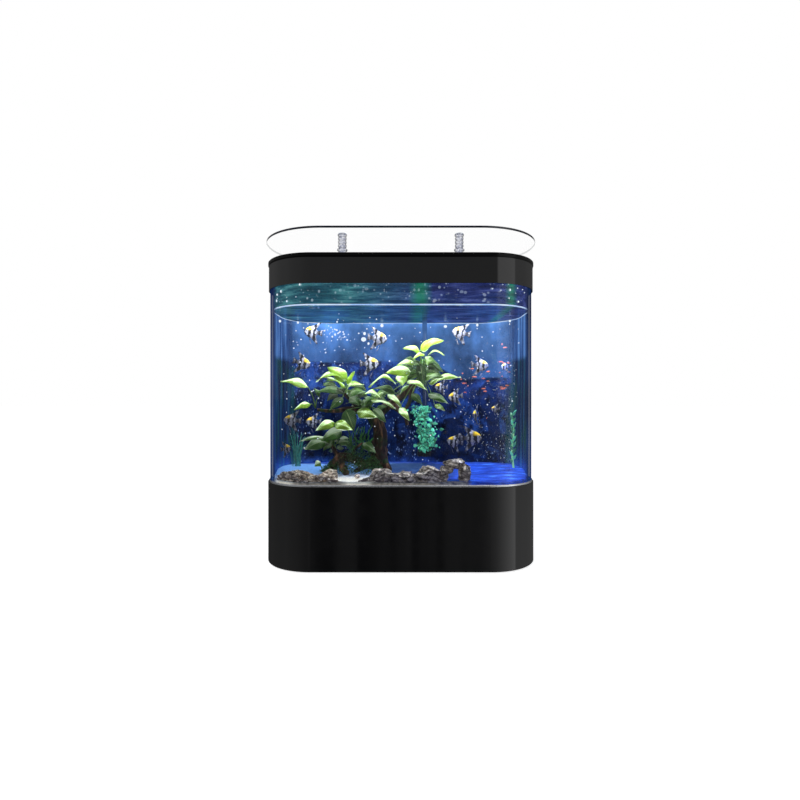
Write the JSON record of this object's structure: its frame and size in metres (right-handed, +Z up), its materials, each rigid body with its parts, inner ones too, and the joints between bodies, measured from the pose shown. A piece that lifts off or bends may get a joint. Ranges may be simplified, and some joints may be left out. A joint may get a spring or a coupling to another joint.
{
  "type": "aquarium on stand",
  "caption": "Round-cornered glass aquarium on a low black cabinet, with a planted tank, a hood holding lamp and filter, and a glass tabletop on crystal pillars.",
  "frame": {"origin": "on the floor, under the middle of the object's plan", "axes": "+Z up, front of the tank towards -Y, width along X"},
  "size_m": [0.826, 0.3905, 0.962],
  "materials": {
    "gloss_black": "high gloss black",
    "satin_black": "satin",
    "board": "dark laminated board",
    "pad_rubber": "matte",
    "steel": "brushed",
    "magnet": "dull",
    "chrome": "polished",
    "trim_silver": "satin",
    "tank_glass": "clear",
    "top_glass": "clear, dark polished edge",
    "crystal": "cut crystal",
    "soft_pads": "clear soft",
    "silicone": "satin",
    "suction": "soft",
    "film_blue": "satin film",
    "led_board": "white board",
    "led": "lamp chips",
    "lens": "frosted",
    "filter_plastic": "smoky",
    "sponge": "open cell foam",
    "ceramic_media": "unglazed",
    "pump_plastic": "moulded",
    "clear_tube": "clear acrylic",
    "sand": "fine white sand",
    "rock_tan": "pebbly",
    "rock_grey": "layered",
    "driftwood": "weathered",
    "leaf": "waxy leaves"
  },
  "bodies": {
    "root": {"base_skin": "gloss_black", "base_floor": "board", "base_deck": "board", "support_panels": "board", "foot_pads": "pad_rubber", "door_frame": "board", "door_frame_screws": "steel", "door_pins": "steel", "door_magnet": "magnet", "bottom_trim": "trim_silver", "foam_mat": "pad_rubber", "bottom_glass": "tank_glass", "front_glass": "tank_glass", "rear_glass": "tank_glass", "silicone_seams": "silicone", "backdrop_film": "film_blue", "hood_band": "gloss_black", "hood_ledge": "satin_black", "cross_bars": "satin_black", "top_frame": "gloss_black", "top_panel": "satin_black", "feed_flap_pins": "steel", "filter_flap_pins": "steel", "lamp_housing": "trim_silver", "led_board": "led_board", "led_chips": "led", "lamp_lens": "lens", "filter_box": "filter_plastic", "filter_sponge": "sponge", "ceramic_rings": "ceramic_media", "pump_body": "pump_plastic", "pump_cover": "pump_plastic", "pump_strainer": "pump_plastic", "pump_shaft": "ceramic_media", "suction_cups": "suction", "riser_pipe": "clear_tube", "riser_elbow": "satin_black", "cable_gland": "pad_rubber", "switch_block": "satin_black", "pillar_front_left": "crystal", "pillar_front_right": "crystal", "pillar_rear_left": "crystal", "pillar_rear_right": "crystal", "pillar_pads": "soft_pads", "sand_bed": "sand", "rocks_left": "rock_tan", "rocks_centre": "rock_grey", "rock_arch": "rock_grey", "driftwood": "driftwood", "plants": "leaf"},
    "tabletop": {"tabletop": "top_glass"},
    "feed_flap": {"feed_flap": "satin_black"},
    "filter_flap": {"filter_flap": "satin_black"},
    "service_door": {"service_door": "gloss_black", "door_strike": "steel", "door_knob": "chrome"},
    "impeller": {"impeller": "pump_plastic"},
    "light_button": {"light_button": "chrome"},
    "pump_button": {"pump_button": "chrome"}
  },
  "joints": [
    {"name": "tabletop_lift", "type": "slide", "parent": "root", "child": "tabletop", "axis": [0, 0, 1], "range_m": [0, 0.12]},
    {"name": "feed_flap_hinge", "type": "hinge", "parent": "root", "child": "feed_flap", "pos_m": [0, -0.03, 0.8866], "axis": [-1, 0, 0], "range_deg": [0, 50]},
    {"name": "filter_flap_hinge", "type": "hinge", "parent": "root", "child": "filter_flap", "pos_m": [-0.12, 0.104, 0.8866], "axis": [-1, 0, 0], "range_deg": [0, 50]},
    {"name": "service_door_hinge", "type": "hinge", "parent": "root", "child": "service_door", "pos_m": [-0.193, 0.177, 0.12], "axis": [0, 0, 1], "range_deg": [0, 90]},
    {"name": "impeller_spin", "type": "hinge", "parent": "root", "child": "impeller", "pos_m": [0.08, 0.142, 0.312], "axis": [0, 1, 0], "continuous": true},
    {"name": "light_button_press", "type": "slide", "parent": "root", "child": "light_button", "axis": [0, 0, -1], "range_m": [0, 0.0025], "stiffness_N_per_m": 300, "springref_m": -0.003},
    {"name": "pump_button_press", "type": "slide", "parent": "root", "child": "pump_button", "axis": [0, 0, -1], "range_m": [0, 0.0025], "stiffness_N_per_m": 300, "springref_m": -0.003}
  ]
}
